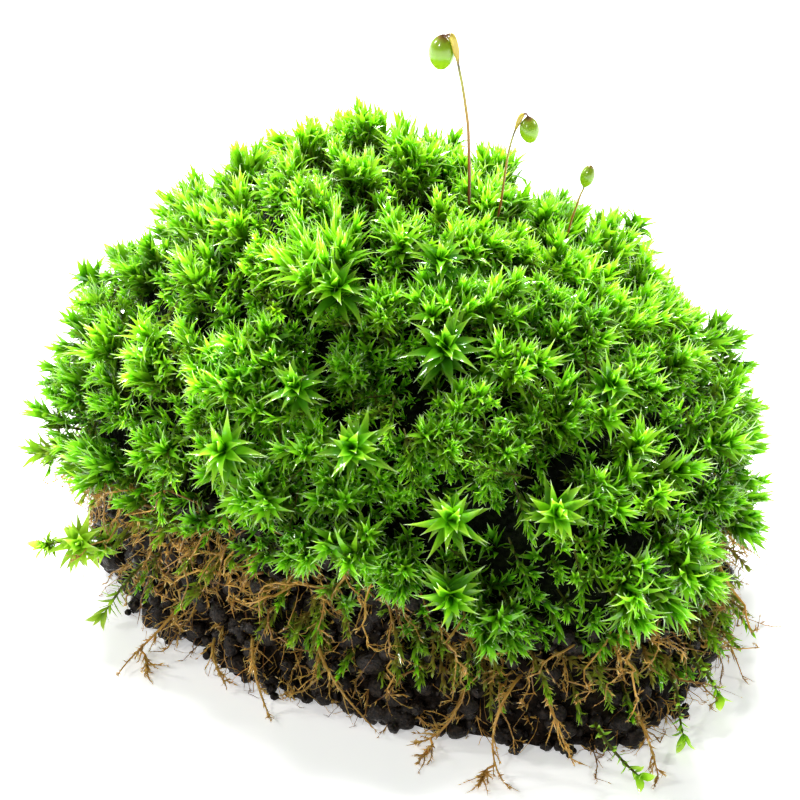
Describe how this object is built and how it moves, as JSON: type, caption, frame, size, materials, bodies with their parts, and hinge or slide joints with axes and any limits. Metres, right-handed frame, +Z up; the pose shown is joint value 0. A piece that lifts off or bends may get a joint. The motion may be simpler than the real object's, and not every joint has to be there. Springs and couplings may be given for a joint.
{
  "type": "moss clump",
  "caption": "Rounded clump of wet green moss on crumbly dark soil, cut off flat underneath, with star-shaped shoots, nodding spore capsules on thin stalks, and trailing stems",
  "frame": {"origin": "on the flat cut under the soil, in the middle of the clump", "axes": "+Z up out of the cut; +X along the clump's longer way; the flatter side, where the soil shows, faces -Y and -X"},
  "size_m": [0.0823, 0.08, 0.0657],
  "materials": {
    "moss": "wet living moss leaves, yellow-green and see-through at the tips, dark green within",
    "star_leaf": "wet glossy moss leaves, saturated green",
    "trailing_leaf": "thin yellow-green moss leaves on a brown stem",
    "spore_stalk": "smooth red-brown stalk that turns yellow-green at its top",
    "spore_capsule": "smooth glossy green skin with a brown lid",
    "brown_stem": "golden-brown dead stems and fine rhizoids, damp",
    "soil": "black-brown crumbly humus, damp and slightly glossy"
  },
  "bodies": {
    "root": {"soil_clod": "soil", "moss_cushion": "moss", "star_shoot_01": "star_leaf", "star_shoot_02": "star_leaf", "star_shoot_03": "star_leaf", "star_shoot_04": "star_leaf", "star_shoot_05": "star_leaf", "star_shoot_06": "star_leaf", "star_shoot_07": "star_leaf", "star_shoot_08": "star_leaf", "star_shoot_09": "star_leaf", "star_shoot_10": "star_leaf", "star_shoot_11": "star_leaf", "star_shoot_12": "star_leaf", "star_shoot_13": "star_leaf", "star_shoot_14": "star_leaf", "spore_stalk_tall": "spore_stalk", "spore_capsule_tall": "spore_capsule", "spore_stalk_middle": "spore_stalk", "spore_capsule_middle": "spore_capsule", "spore_stalk_short": "spore_stalk", "spore_capsule_short": "spore_capsule", "brown_stem_01": "brown_stem", "brown_stem_02": "brown_stem", "brown_stem_03": "brown_stem", "brown_stem_04": "brown_stem", "brown_stem_05": "brown_stem", "brown_stem_06": "brown_stem", "brown_stem_07": "brown_stem", "brown_stem_08": "brown_stem", "brown_stem_01_fork": "brown_stem", "brown_stem_05_fork": "brown_stem", "brown_stem_06_fork": "brown_stem", "trailing_shoot_left": "trailing_leaf", "trailing_shoot_low_left": "trailing_leaf", "trailing_shoot_right": "trailing_leaf", "trailing_shoot_low_right": "trailing_leaf", "trailing_shoot_front": "trailing_leaf", "soil_crumb_1": "soil", "soil_crumb_2": "soil", "soil_crumb_3": "soil", "soil_crumb_4": "soil", "soil_crumb_5": "soil", "soil_crumb_6": "soil", "soil_crumb_7": "soil", "soil_crumb_8": "soil"}
  },
  "joints": []
}
